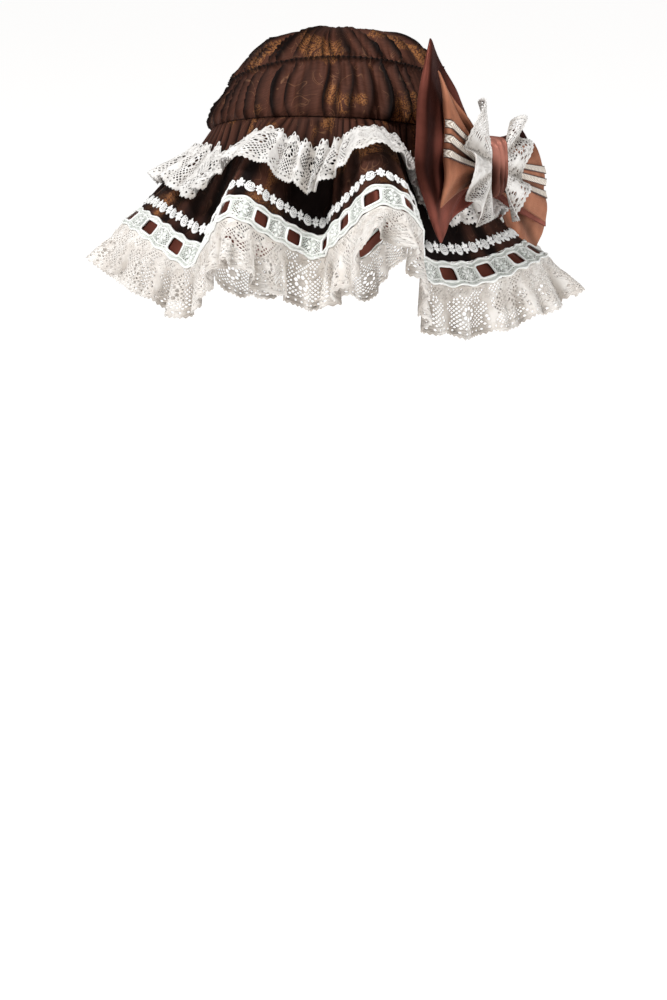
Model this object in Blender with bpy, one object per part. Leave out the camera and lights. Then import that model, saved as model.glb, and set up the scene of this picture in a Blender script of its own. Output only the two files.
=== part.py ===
# A ruffled cloth cap with lace, a threaded ribbon and a big side bow, in the form that it has when worn.
# Metres, +Z up, the front is at -Y. The origin is the centre of the opening at the elastic seam.
# Angles go round the cap from the front: 0 is the front, 90 is the side of the bow.
from collections import namedtuple
from math import cos, pi, radians, sin

import bmesh
import bpy
from mathutils import Vector

# Driving dimensions
SEAM_TILT = radians(17)
SEAM_ROLL = 0.045
ROLL_ENDS = 0.035
CLOTH = 0.0014
LACE = 0.0010
GAP = 0.0004
CROWN_PLEATS = 30
PLEAT_DEPTH = 0.0009

# The brim, from the elastic seam to the bottom of the beading lace, and its trims.
BRIM_WIDTH = 0.088
BRIM_BANDS = 4
HEM_WIDTH = 0.033
BEADING_WIDTH = 0.017
RIBBON_WIDTH = 0.0085
TRIM_WIDTH = 0.008
TRIM_ABOVE_BEADING = 0.004
UPPER_LACE_WIDTH = 0.036
UPPER_LACE_START = 0.015
UPPER_LACE_BEND = 0.4
SLOTS = 40
SLOT_SHARE = 0.37
EDGE_SAMPLES = 40

# One row for each ring of the crown, from the elastic seam over the shirring to the middle. drop is
# how much lower the ring is at its two sides, and rise is measured square to the tilted rings.
Ring = namedtuple("Ring", "name half_width half_depth height drop rise")
CROWN_RINGS = (
    Ring("seam", 0.0815, 0.0930, 0.0000, 0.0000, 0.0000),
    Ring("lower_puff", 0.0824, 0.0945, 0.0060, 0.0008, 0.0000),
    Ring("upper_puff", 0.0776, 0.0892, 0.0195, 0.0030, 0.0000),
    Ring("below_shirring", 0.0706, 0.0800, 0.0330, 0.0052, 0.0000),
    Ring("shirring", 0.0685, 0.0762, 0.0385, 0.0060, 0.0000),
    Ring("above_shirring", 0.0678, 0.0752, 0.0385, 0.0060, 0.0040),
    Ring("shoulder", 0.0618, 0.0686, 0.0385, 0.0048, 0.0112),
    Ring("haunch", 0.0522, 0.0580, 0.0385, 0.0028, 0.0185),
    Ring("crest", 0.0388, 0.0431, 0.0385, 0.0012, 0.0238),
    Ring("flat", 0.0226, 0.0250, 0.0385, 0.0000, 0.0268),
    Ring("middle", 0.0085, 0.0094, 0.0385, 0.0000, 0.0278),
)
GATHERED_RINGS = ("seam", "shirring")
TOP_LEAN = 0.1
# One row for each fold of the brim. seam and edge are the angles of its two ends, radius and height
# place its lower edge, bulge bends it out, fall and dip are the hem lace's angle round the cap and
# its steepness, stand is how far the upper lace stands off the brim.
Fold = namedtuple("Fold", "name seam edge radius height bulge fall dip stand")
FOLDS = (
    Fold("side_ridge", -84, -83, 0.143, -0.053, -0.004, -83, 45, 0.008),
    Fold("side_slope", -67, -67, 0.133, -0.057, -0.003, -67, 62, 0.008),
    Fold("valley_1", -51, -50, 0.124, -0.068, -0.004, -50, 80, 0.008),
    Fold("flank_1", -38, -40, 0.128, -0.050, 0.000, -20, 78, 0.008),
    Fold("ridge_1", -25, -26, 0.151, -0.024, 0.008, -2, 36, 0.008),
    Fold("flank_2", -17, -19, 0.131, -0.038, 0.001, -6, 70, 0.008),
    Fold("valley_2", -10, -13, 0.112, -0.051, -0.004, -13, 86, 0.008),
    Fold("valley_3", -3, -6, 0.111, -0.055, -0.004, -6, 88, 0.008),
    Fold("flank_3", 2, 1, 0.134, -0.036, 0.001, 0, 72, 0.008),
    Fold("ridge_2", 11, 9, 0.157, -0.013, 0.010, -4, 10, 0.008),
    Fold("flank_4", 21, 20, 0.143, -0.030, 0.001, 4, 66, 0.002),
    Fold("valley_4", 30, 28, 0.115, -0.070, -0.006, 14, 86, 0.000),
    Fold("panel", 47, 46, 0.122, -0.078, -0.010, 46, 80, 0.001),
    Fold("panel_end", 64, 63, 0.134, -0.073, -0.011, 63, 68, 0.001),
    Fold("side_ridge_right", 80, 80, 0.140, -0.073, -0.012, 82, 48, 0.002),
    Fold("valley_5", 96, 96, 0.122, -0.088, -0.010, 96, 88, 0.002),
    Fold("valley_6", 110, 110, 0.122, -0.094, -0.007, 110, 88, 0.002),
    Fold("ridge_3", 127, 127, 0.154, -0.077, 0.006, 127, 36, 0.008),
    Fold("valley_7", 142, 142, 0.124, -0.104, -0.003, 142, 84, 0.008),
    Fold("ridge_4", 158, 158, 0.154, -0.081, 0.007, 158, 36, 0.008),
    Fold("valley_8", 174, 174, 0.121, -0.112, -0.003, 174, 84, 0.008),
    Fold("ridge_5", 191, 191, 0.154, -0.083, 0.007, 191, 36, 0.008),
    Fold("valley_9", 208, 208, 0.122, -0.108, -0.003, 208, 84, 0.008),
    Fold("ridge_6", 225, 225, 0.155, -0.077, 0.007, 225, 36, 0.008),
    Fold("valley_10", 241, 241, 0.125, -0.097, -0.003, 241, 84, 0.008),
    Fold("ridge_7", 256, 256, 0.150, -0.070, 0.004, 256, 46, 0.008),
    Fold("valley_11", 266, 266, 0.131, -0.073, -0.003, 266, 70, 0.008),
)
# A fold as the brim is made from it: hem is the way that the hem lace falls.
Hang = namedtuple("Hang", "seam end bulge hem stand")

# The bow: the inner side of its middle, the way that its length runs, and the size of its knot.
BOW_MIDDLE = Vector((0.0831, -0.0535, -0.0080))
BOW_TURN = radians(29.5)
KNOT_DEPTH = 0.0225
KNOT_WIDTH = 0.0210
KNOT_HEIGHT = 0.0370
KNOT_ROUNDING = 0.18
# One row for each loop: side is -1 for the front and +1 for the back, layer is how far its inner side
# stands out from the bow's middle plane, gap is its hollow, lean lets its end rise, pull draws in its
# corners, slant lets its lower corner reach further than the upper, and tuck draws in its fold's middle.
Loop = namedtuple("Loop", "name side length half_height waist layer gap lean pull slant tuck material")
LOOPS = (
    Loop("bow_satin_front", -1, 0.0815, 0.0624, 0.016, 0.0015, 0.0070, 0.0231, 0.0227, -0.0088, 0.0, "satin"),
    Loop("bow_satin_back", 1, 0.0940, 0.0380, 0.015, 0.0015, 0.0070, -0.0227, 0.0060, 0.0240, 0.0, "satin"),
    Loop("bow_copper_front", -1, 0.0700, 0.0410, 0.014, 0.0102, 0.0045, 0.0271, 0.0014, -0.0029, 0.010, "copper"),
    Loop("bow_copper_back", 1, 0.0870, 0.0284, 0.013, 0.0102, 0.0045, -0.0249, 0.0040, 0.0111, 0.0, "copper"),
)
LOOP_SPREAD = 1.4
LOOP_BANDS = 5
LOOP_STRIPS = 6
LOOP_PINCH = 0.4
LOOP_OPENING = 1.5
BRAIDS = 3
BRAID_WIDTH = 0.0055
BRAID_PITCH = 0.0105
BRAID_DRAW = 0.4
# One row for each lace fan of the bow: flare is how far its edge stands out from the knot.
Fan = namedtuple("Fan", "name side length top_degrees bottom_degrees layer flare")
FANS = (
    Fan("bow_lace_front", -1, 0.046, 84, -62, 0.0192, 0.010),
    Fan("bow_lace_back", 1, 0.036, 72, -84, 0.0192, 0.008),
)
FAN_ROOT = 0.013
FAN_RINGS = 3
FAN_SPOKES = 12
FAN_WAVES = 3
FAN_WAVE_HEIGHT = 0.0015
# The tail hangs from under the back loop: where it starts and ends along and above the bow's middle,
# its half width, its narrow root and how far its plane lies behind the bow's.
TAIL_START = Vector((0.038, -0.0145))
TAIL_END = Vector((0.110, -0.077))
TAIL_HALF = 0.020
TAIL_ROOT_SHARE = 0.35
TAIL_LAYER = -0.0003
TAIL_BANDS = 5

Finish = namedtuple("Finish", "colour roughness")
FINISHES = {
    "cloth": Finish((0.065, 0.026, 0.017), 0.80),
    "satin": Finish((0.120, 0.040, 0.030), 0.35),
    "copper": Finish((0.400, 0.170, 0.110), 0.35),
    "ribbon": Finish((0.110, 0.030, 0.025), 0.35),
    "lace": Finish((0.860, 0.830, 0.780), 0.85),
    "braid": Finish((0.780, 0.700, 0.600), 0.85),
}


def clear_scene():
    for old in list(bpy.data.objects):
        bpy.data.objects.remove(old, do_unlink=True)


def finish_material(name):
    made = bpy.data.materials.get(name)
    if made:
        return made
    made = bpy.data.materials.new(name)
    made.use_nodes = True
    shader = made.node_tree.nodes["Principled BSDF"]
    shader.inputs["Base Color"].default_value = (*FINISHES[name].colour, 1.0)
    shader.inputs["Roughness"].default_value = FINISHES[name].roughness
    return made


def add_object(name, bm, material, wall=None, offset=0.0):
    """Turn a bmesh into an object; wall gives a single sheet its thickness."""
    mesh = bpy.data.meshes.new(name)
    bm.to_mesh(mesh)
    bm.free()
    mesh.materials.append(finish_material(material))
    made = bpy.data.objects.new(name, mesh)
    bpy.context.collection.objects.link(made)
    if wall:
        solidify = made.modifiers.new("wall", "SOLIDIFY")
        solidify.thickness = wall
        solidify.offset = offset


def skin(rows, ring=False, holes=()):
    """Skin a list of rows of points; ring closes each row, holes lists the cells to leave open."""
    bm = bmesh.new()
    verts = [[bm.verts.new(p) for p in row] for row in rows]
    columns = len(rows[0])
    last = columns if ring else columns - 1
    for r in range(len(rows) - 1):
        for c in range(last):
            if (r, c) in holes:
                continue
            d = (c + 1) % columns
            bm.faces.new((verts[r][c], verts[r][d], verts[r + 1][d], verts[r + 1][c]))
    loose = [v for v in bm.verts if not v.link_faces]
    bmesh.ops.delete(bm, geom=loose, context="VERTS")
    bmesh.ops.recalc_face_normals(bm, faces=bm.faces)
    return bm, verts


def add_sheet(name, rows, thickness, material, ring=False, holes=()):
    bm, verts = skin(rows, ring, holes)
    add_object(name, bm, material, wall=thickness)


def outward(angle):
    """The level direction away from the cap's middle."""
    return Vector((sin(angle), -cos(angle), 0.0))


def ring_point(angle, ring):
    """A point of a level ellipse tipped back; near the seam it also leans to the bow's side."""
    across = ring.half_width * sin(angle)
    forward = ring.half_depth * cos(angle)
    roll = -SEAM_ROLL * across * max(1 - ring.height / ROLL_ENDS, 0)
    sag = ring.drop * sin(angle) ** 2
    point = Vector((across, -forward * cos(SEAM_TILT), ring.height + forward * sin(SEAM_TILT) + roll - sag))
    return point + Vector((TOP_LEAN, sin(SEAM_TILT), cos(SEAM_TILT))) * ring.rise


def build_crown():
    """Soft pleats run up both puffs, and are drawn flat at the seam and at the shirring."""
    sides = 2 * CROWN_PLEATS
    angles = [2 * pi * k / sides for k in range(sides)]
    rows = []
    for ring in CROWN_RINGS:
        depth = 0.0 if ring.name in GATHERED_RINGS else PLEAT_DEPTH * ring.half_width / CROWN_RINGS[0].half_width
        row = []
        for k, angle in enumerate(angles):
            row.append(ring_point(angle, ring) + outward(angle) * depth * (1 if k % 2 else -1))
        rows.append(row)
    rows[0] = [point + Vector((0, 0, GAP)) for point in rows[0]]
    bm, verts = skin(rows, ring=True)
    lid = bm.faces.new(verts[-1])
    bmesh.ops.triangulate(bm, faces=[lid])
    bmesh.ops.recalc_face_normals(bm, faces=bm.faces)
    add_object("crown", bm, "cloth", wall=CLOTH, offset=-1.0)


def fold_hangs():
    """Where each fold leaves the seam and where its edge hangs, with the values that shape it."""
    hangs = []
    for fold in FOLDS:
        end = outward(radians(fold.edge)) * fold.radius + Vector((0, 0, fold.height))
        dip = radians(fold.dip)
        hem = outward(radians(fold.fall)) * cos(dip) - Vector((0, 0, sin(dip)))
        hangs.append(Hang(radians(fold.seam), end, fold.bulge, hem, fold.stand))
    return hangs


def blend4(a, b, c, d, f):
    """Catmull-Rom between b and c."""
    return 0.5 * (2 * b + (c - a) * f + (2 * a - 5 * b + 4 * c - d) * f * f + (3 * b - a - 3 * c + d) * f ** 3)


def hang_at(hangs, place):
    """The fold's values at a place counted in table rows, going round the cap."""
    count = len(hangs)
    first = int(place)
    share = place - first
    picked = []
    for k in range(first - 1, first + 3):
        hang = hangs[k % count]
        picked.append(hang._replace(seam=hang.seam + 2 * pi * (k // count)))
    mixed = Hang(*[blend4(*values, share) for values in zip(*picked)])
    return mixed._replace(hem=mixed.hem.normalized())


def slot_lines(hangs):
    """Places round the brim, two for each ribbon slot, evenly spaced along the brim's edge."""
    steps = EDGE_SAMPLES * len(hangs)
    places = [len(hangs) * k / steps for k in range(steps + 1)]
    ends = [hang_at(hangs, place).end for place in places]
    run = [0.0]
    for a, b in zip(ends, ends[1:]):
        run.append(run[-1] + (b - a).length)
    wanted = []
    for slot in range(SLOTS):
        wanted.append(run[-1] * slot / SLOTS)
        wanted.append(run[-1] * (slot + SLOT_SHARE) / SLOTS)
    lines = []
    k = 0
    for target in wanted:
        while run[k + 1] < target:
            k += 1
        share = (target - run[k]) / (run[k + 1] - run[k])
        lines.append(places[k] + share * (places[k + 1] - places[k]))
    return lines


def brim_point(hang, down):
    """A point of the brim's middle surface, down metres below the seam; past the edge is hem lace."""
    start = ring_point(hang.seam, CROWN_RINGS[0])
    lift = (Vector((hang.end.x, hang.end.y, 0.0)).normalized() + Vector((0, 0, 1))).normalized()
    middle = (start + hang.end) / 2 + lift * hang.bulge * 2
    share = min(down / BRIM_WIDTH, 1.0)
    point = start * (1 - share) ** 2 + middle * 2 * share * (1 - share) + hang.end * share ** 2
    return point + hang.hem * max(down - BRIM_WIDTH, 0.0)


def brim_rows(hangs, downs):
    return [[brim_point(hang, down) for hang in hangs] for down in downs]


def row_normals(rows):
    """The outward normal at each point of a grid of rows that closes round the cap."""
    count = len(rows[0])
    normals = []
    for r in range(len(rows)):
        above = rows[max(r - 1, 0)]
        below = rows[min(r + 1, len(rows) - 1)]
        row = []
        for k in range(count):
            round_by = rows[r][(k + 1) % count] - rows[r][k - 1]
            row.append((below[k] - above[k]).cross(round_by).normalized())
        normals.append(row)
    return normals


def lifted_rows(hangs, grid_downs, downs, lifts):
    """Rows of points over a brim grid's flat faces. Each lift is a height and a share of the stand."""
    grid = brim_rows(hangs, grid_downs)
    normals = row_normals(grid)
    rows = []
    for down, (seat, stand_share) in zip(downs, lifts):
        r = max(k for k in range(len(grid_downs) - 1) if grid_downs[k] <= down)
        share = (down - grid_downs[r]) / (grid_downs[r + 1] - grid_downs[r])
        row = []
        for k, hang in enumerate(hangs):
            here = grid[r][k].lerp(grid[r + 1][k], share)
            normal = normals[r][k].lerp(normals[r + 1][k], share).normalized()
            row.append(here + normal * (seat + hang.stand * stand_share))
        rows.append(row)
    return rows


def build_brim_and_trims():
    """The brim ends where the beading lace begins, and the hem lace hangs from the beading."""
    hangs = fold_hangs()
    lines = [hang_at(hangs, place) for place in slot_lines(hangs)]
    beading_top = BRIM_WIDTH - BEADING_WIDTH
    slot_top = beading_top + (BEADING_WIDTH - RIBBON_WIDTH) / 2
    slot_bottom = slot_top + RIBBON_WIDTH
    trim_bottom = beading_top - TRIM_ABOVE_BEADING
    brim_end = beading_top - GAP / 2
    brim_downs = [GAP / 2 + (brim_end - GAP / 2) * band / BRIM_BANDS for band in range(BRIM_BANDS + 1)]
    add_sheet("brim", brim_rows(lines, brim_downs), CLOTH, "cloth", ring=True)

    on_cloth = CLOTH / 2 + GAP + LACE / 2
    trim_downs = (trim_bottom - TRIM_WIDTH, trim_bottom)
    trim = lifted_rows(lines, brim_downs, trim_downs, ((on_cloth, 0), (on_cloth, 0)))
    add_sheet("floral_trim", trim, LACE, "lace", ring=True)

    bends = (0, UPPER_LACE_BEND, 1)
    lace_downs = [UPPER_LACE_START + UPPER_LACE_WIDTH * share for share in bends]
    lace_lifts = [(on_cloth + GAP, share) for share in (0, 0.5, 1)]
    add_sheet("upper_lace", lifted_rows(lines, brim_downs, lace_downs, lace_lifts), LACE, "lace", ring=True)

    beading_downs = (beading_top + GAP / 2, slot_top, slot_bottom, BRIM_WIDTH - GAP)
    windows = {(1, 2 * slot) for slot in range(SLOTS)}
    add_sheet("beading_lace", brim_rows(lines, beading_downs), LACE, "lace", ring=True, holes=windows)
    behind = -(LACE + GAP)
    ribbon = lifted_rows(lines, beading_downs, (slot_top, slot_bottom), ((behind, 0), (behind, 0)))
    add_sheet("threaded_ribbon", ribbon, LACE, "ribbon", ring=True)

    hem_downs = [BRIM_WIDTH + GAP + HEM_WIDTH * share for share in (0, 0.5, 1)]
    add_sheet("hem_lace", brim_rows(lines, hem_downs), LACE, "lace", ring=True)


def bow_place(along_by, out_by, up_by):
    """A point in the bow's own directions: along its length to the back, out from the cap, and up."""
    along = Vector((sin(BOW_TURN), cos(BOW_TURN), 0.0))
    out = Vector((cos(BOW_TURN), -sin(BOW_TURN), 0.0))
    return BOW_MIDDLE + along * along_by + out * out_by + Vector((0, 0, up_by))


def outer_layer(loop):
    """Distance along a loop and out from the cap, from the knot to where its fold begins."""
    reach = KNOT_WIDTH / 2 + GAP * 2
    straight = loop.length - loop.gap / 2 - reach
    layer = []
    for band in range(LOOP_BANDS + 1):
        share = band / LOOP_BANDS
        puff = min(1, LOOP_PINCH + LOOP_OPENING * share)
        layer.append((reach + straight * share, loop.layer + loop.gap * puff))
    return layer


def loop_half_height(loop, share):
    return loop.waist + (loop.half_height - loop.waist) * share ** LOOP_SPREAD


def loop_point(loop, along_by, out_by, across):
    """across runs from -1 at the loop's lower edge to 1 at its upper edge."""
    share = min(max(along_by / loop.length, 0.0), 1.0)
    height = loop_half_height(loop, share) * across + loop.lean * share
    drawn = share ** 2 * (loop.tuck * (1 - across ** 2) + loop.pull * across ** 2 + loop.slant * across)
    return bow_place(loop.side * (along_by - drawn), out_by, height)


def build_loops():
    """Each loop goes out from the knot, folds over at its end and comes back."""
    strips = [-1 + 2 * k / LOOP_STRIPS for k in range(LOOP_STRIPS + 1)]
    for loop in LOOPS:
        outer = outer_layer(loop)
        inner = [(along_by, loop.layer) for along_by, out_by in reversed(outer)]
        path = outer + [(loop.length, loop.layer + loop.gap / 2)] + inner
        rows = [[loop_point(loop, *place, across) for across in strips] for place in path]
        add_sheet(loop.name, rows, LACE, loop.material)


def build_braids():
    """Three braids lie over the outer layer of each copper loop and draw together at the knot."""
    for loop in [loop for loop in LOOPS if loop.material == "copper"]:
        label = loop.name.replace("copper", "braid")
        for index in range(BRAIDS):
            middle = (index - (BRAIDS - 1) / 2) * BRAID_PITCH
            rows = []
            for along_by, out_by in outer_layer(loop):
                share = along_by / loop.length
                drawn = BRAID_DRAW + (1 - BRAID_DRAW) * share
                half = loop_half_height(loop, share)
                edges = [(middle + BRAID_WIDTH * edge) * drawn / half for edge in (-0.5, 0.5)]
                rows.append([loop_point(loop, along_by, out_by + LACE + GAP, edge) for edge in edges])
            add_sheet(f"{label}_{index + 1}", rows, LACE, "braid")


def build_lace_fans():
    """Gathered lace spreads from the knot over each side of the bow."""
    for fan in FANS:
        rows = []
        for ring in range(FAN_RINGS + 1):
            share = ring / FAN_RINGS
            row = []
            for spoke in range(FAN_SPOKES + 1):
                turn = spoke / FAN_SPOKES
                angle = radians(fan.bottom_degrees + (fan.top_degrees - fan.bottom_degrees) * turn)
                wave = sin(2 * pi * FAN_WAVES * turn) * FAN_WAVE_HEIGHT * share
                along_by = KNOT_WIDTH / 2 + GAP + fan.length * share * cos(angle)
                up_by = (FAN_ROOT + fan.length * share) * sin(angle)
                row.append(bow_place(fan.side * along_by, fan.layer + wave + fan.flare * share, up_by))
            rows.append(row)
        add_sheet(fan.name, rows, LACE, "lace")


def build_knot():
    bm = bmesh.new()
    bmesh.ops.create_cube(bm, size=1.0)
    bmesh.ops.bevel(
        bm, geom=bm.edges[:], offset=KNOT_ROUNDING, segments=2, profile=0.5, affect="EDGES", material=-1
    )
    for v in bm.verts:
        v.co = bow_place(v.co.y * KNOT_WIDTH, (v.co.x + 0.5) * KNOT_DEPTH, v.co.z * KNOT_HEIGHT)
    bmesh.ops.recalc_face_normals(bm, faces=bm.faces)
    add_object("bow_knot", bm, "satin")


def build_tail():
    """The tail widens from its root to its cut end, down and to the back."""
    cross = Vector((TAIL_START.y - TAIL_END.y, TAIL_END.x - TAIL_START.x)).normalized()
    rows = []
    for band in range(TAIL_BANDS + 1):
        share = band / TAIL_BANDS
        middle = TAIL_START.lerp(TAIL_END, share)
        reach = cross * TAIL_HALF * (TAIL_ROOT_SHARE + (1 - TAIL_ROOT_SHARE) * share)
        points = (middle - reach, middle, middle + reach)
        rows.append([bow_place(point.x, TAIL_LAYER, point.y) for point in points])
    add_sheet("bow_tail_copper", rows, LACE, "copper")


def build():
    clear_scene()
    build_crown()
    build_brim_and_trims()
    build_loops()
    build_braids()
    build_lace_fans()
    build_knot()
    build_tail()


build()
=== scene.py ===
from collections import namedtuple
from math import copysign, cos, pi, radians, sin, tau

import bmesh
import bpy
import numpy as np
from mathutils import Matrix, Vector


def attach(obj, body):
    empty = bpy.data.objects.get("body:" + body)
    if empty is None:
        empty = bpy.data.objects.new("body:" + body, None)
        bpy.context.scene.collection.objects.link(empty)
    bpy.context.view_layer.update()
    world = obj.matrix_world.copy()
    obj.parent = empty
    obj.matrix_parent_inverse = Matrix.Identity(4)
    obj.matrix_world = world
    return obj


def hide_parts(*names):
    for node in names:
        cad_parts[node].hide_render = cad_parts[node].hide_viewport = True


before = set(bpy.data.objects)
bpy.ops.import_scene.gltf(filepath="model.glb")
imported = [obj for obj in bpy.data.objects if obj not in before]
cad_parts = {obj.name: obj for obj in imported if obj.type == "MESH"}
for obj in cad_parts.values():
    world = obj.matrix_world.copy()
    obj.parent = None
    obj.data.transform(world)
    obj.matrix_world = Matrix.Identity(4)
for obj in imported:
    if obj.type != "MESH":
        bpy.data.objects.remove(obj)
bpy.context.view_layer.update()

MM = 0.001

# The cap's own sizes in metres and degrees, the same as the pieces that carry them.
SEAM_TILT = radians(17)
SEAM_ROLL = 0.045
ROLL_ENDS = 0.035
BRIM_WIDTH = 0.088
HEM_WIDTH = 0.033
BEADING_WIDTH = 0.017
RIBBON_WIDTH = 0.0085
TRIM_WIDTH = 0.008
TRIM_ABOVE_BEADING = 0.004
UPPER_LACE_WIDTH = 0.036
UPPER_LACE_START = 0.015
SLOTS = 40
SLOT_SHARE = 0.37
EDGE_SAMPLES = 40
BEADING_TOP = BRIM_WIDTH - BEADING_WIDTH

# One row for each ring of the crown, from the seam to the middle. drop is how much lower the ring is
# at its two sides, and rise is measured square to the tilted rings.
Ring = namedtuple("Ring", "half_width half_depth height drop rise")
CROWN_RINGS = [Ring(*row) for row in (
    (0.0815, 0.093, 0, 0, 0),
    (0.0824, 0.0945, 0.006, 0.0008, 0),
    (0.0776, 0.0892, 0.0195, 0.003, 0),
    (0.0706, 0.08, 0.033, 0.0052, 0),
    (0.0685, 0.0762, 0.0385, 0.006, 0),
    (0.0678, 0.0752, 0.0385, 0.006, 0.004),
    (0.0618, 0.0686, 0.0385, 0.0048, 0.0112),
    (0.0522, 0.058, 0.0385, 0.0028, 0.0185),
    (0.0388, 0.0431, 0.0385, 0.0012, 0.0238),
    (0.0226, 0.025, 0.0385, 0, 0.0268),
    (0, 0, 0.0385, 0, 0.028),
)]
SHIRRING_ROW = 4
TOP_LEAN = 0.1

# One row for each fold of the brim, in degrees and millimetres. seam and edge are the angles of its two
# ends, radius and height place its lower edge, bulge bends it out, fall and dip are the hem lace's angle
# round the cap and its steepness, stand is how far the upper lace stands off the brim.
Fold = namedtuple("Fold", "seam edge radius height bulge fall dip stand")
FOLDS = [Fold(*row) for row in (
    (-84, -83, 143, -53, -4, -83, 45, 8),
    (-67, -67, 133, -57, -3, -67, 62, 8),
    (-51, -50, 124, -68, -4, -50, 80, 8),
    (-38, -40, 128, -50, 0, -20, 78, 8),
    (-25, -26, 151, -24, 8, -2, 36, 8),
    (-17, -19, 131, -38, 1, -6, 70, 8),
    (-10, -13, 112, -51, -4, -13, 86, 8),
    (-3, -6, 111, -55, -4, -6, 88, 8),
    (2, 1, 134, -36, 1, 0, 72, 8),
    (11, 9, 157, -13, 10, -4, 10, 8),
    (21, 20, 143, -30, 1, 4, 66, 2),
    (30, 28, 115, -70, -6, 14, 86, 0),
    (47, 46, 122, -78, -10, 46, 80, 1),
    (64, 63, 134, -73, -11, 63, 68, 1),
    (80, 80, 140, -73, -12, 82, 48, 2),
    (96, 96, 122, -88, -10, 96, 88, 2),
    (110, 110, 122, -94, -7, 110, 88, 2),
    (127, 127, 154, -77, 6, 127, 36, 8),
    (142, 142, 124, -104, -3, 142, 84, 8),
    (158, 158, 154, -81, 7, 158, 36, 8),
    (174, 174, 121, -112, -3, 174, 84, 8),
    (191, 191, 154, -83, 7, 191, 36, 8),
    (208, 208, 122, -108, -3, 208, 84, 8),
    (225, 225, 155, -77, 7, 225, 36, 8),
    (241, 241, 125, -97, -3, 241, 84, 8),
    (256, 256, 150, -70, 4, 256, 46, 8),
    (266, 266, 131, -73, -3, 266, 70, 8),
)]

# The bow
BOW_MIDDLE = np.array((0.0831, -0.0535, -0.008))
BOW_TURN = radians(29.5)
BOW_ALONG = np.array((sin(BOW_TURN), cos(BOW_TURN), 0.0))
BOW_OUT = np.array((cos(BOW_TURN), -sin(BOW_TURN), 0.0))
KNOT_DEPTH = 0.0225
KNOT_WIDTH = 0.021
KNOT_HEIGHT = 0.037
KNOT_POWER = 5.0
Loop = namedtuple("Loop", "side length half_height waist layer gap lean pull slant tuck spread")
LOOPS = {
    "bow_satin_front": Loop(-1, 0.0815, 0.0624, 0.016, 0.0015, 0.007, 0.0231, 0.0227, -0.0088, 0.0, 1.0),
    "bow_satin_back": Loop(1, 0.094, 0.038, 0.015, 0.0015, 0.007, -0.0227, 0.006, 0.024, 0.0, 1.3),
    "bow_copper_front": Loop(-1, 0.07, 0.041, 0.014, 0.0102, 0.0045, 0.0271, 0.0014, -0.0029, 0.01, 1.75),
    "bow_copper_back": Loop(1, 0.087, 0.0284, 0.013, 0.0102, 0.0045, -0.0249, 0.004, 0.0111, 0.0, 1.4),
}
BRAID_WIDTH = 0.0055
BRAID_PITCH = 0.009
BRAID_DRAW = 0.4
Fan = namedtuple("Fan", "side length low_share top_degrees bottom_degrees layer flare tiles")
FANS = {
    "bow_lace_front": Fan(-1, 0.05, 0.52, 64, -64, 0.0192, 0.002, 4),
    "bow_lace_back": Fan(1, 0.022, 1.5, 70, -76, 0.0192, 0.003, 4),
}
FAN_TILE_WIDTH = 17.0
FAN_TILE_DEPTH = 0.03
FAN_ROOT = 0.013
FAN_LOBES = 3.5
TAIL_START = np.array((0.038, -0.0145))
TAIL_END = np.array((0.11, -0.077))
TAIL_HALF = 0.02
TAIL_LAYER = -0.0003

# Wall thicknesses of the finished looks in metres, and of the two laces in millimetres
CLOTH_WALL = 0.0007
SATIN_WALL = 0.0006
BRAID_WALL = 0.0008
RIBBON_WALL = 0.00025
LACE_MM = 0.55
BEADING_MM = 0.4
RIBBON_FULL = 0.0108
WELD = 0.00002

# The quads of each sheet, along and across
CROWN_GRID = (560, 54)
BRIM_GRID = (660, 28)
RIBBON_GRID = (SLOTS * 14, 5)
LOOP_GRID = (96, 44)
BRAID_GRID = (70, 8)
TAIL_GRID = (60, 28)
KNOT_CUTS = 25


def unit(v):
    return v / np.maximum(np.linalg.norm(v, axis=-1, keepdims=True), 1e-12)


def ease(value, low, high):
    share = np.clip((value - low) / (high - low), 0, 1)
    return share * share * (3 - 2 * share)


def run_along(points):
    """The distance to each point along a line of points."""
    return np.concatenate(([0.0], np.cumsum(np.linalg.norm(np.diff(points, axis=0), axis=1))))


def blend_rows(table, place, closed):
    """A smooth curve through a table's rows, at places counted in rows."""
    first = np.floor(place).astype(int)
    picked = []
    for k in (-1, 0, 1, 2):
        index = first + k
        picked.append(table[index % len(table) if closed else np.clip(index, 0, len(table) - 1)])
    a, b, c, d = picked
    f = (place - first)[:, None]
    curve = 2 * b + (c - a) * f + (2 * a - 5 * b + 4 * c - d) * f ** 2 + (3 * b - a - 3 * c + d) * f ** 3
    return 0.5 * curve


def pleats(turn, count, seed, sway=1.0):
    """Rounded folds with sharp valleys round a closed run, 0 to 1 high."""
    draw = np.random.default_rng(seed)
    phase = tau * count * turn
    for waves in (3, 7, 13, 19):
        phase = phase + sway * draw.uniform(0.5, 1.0) * np.sin(tau * waves * turn + draw.uniform(0, tau))
    return np.abs(np.sin(phase / 2)) ** 0.75


def sways(turn, counts, seed):
    """Soft waves of mixed lengths round a closed run, about -1 to 1."""
    draw = np.random.default_rng(seed)
    total = sum(np.sin(tau * count * turn + draw.uniform(0, tau)) for count in counts)
    return total / len(counts) ** 0.5


def normals_of(surface, a, b, step_a=0.0006, step_b=0.0006):
    """A surface's outward normals, from small steps to both sides."""
    along_a = surface(a + step_a, b) - surface(a - step_a, b)
    along_b = surface(a, b + step_b) - surface(a, b - step_b)
    return unit(np.cross(along_b, along_a))


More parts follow.
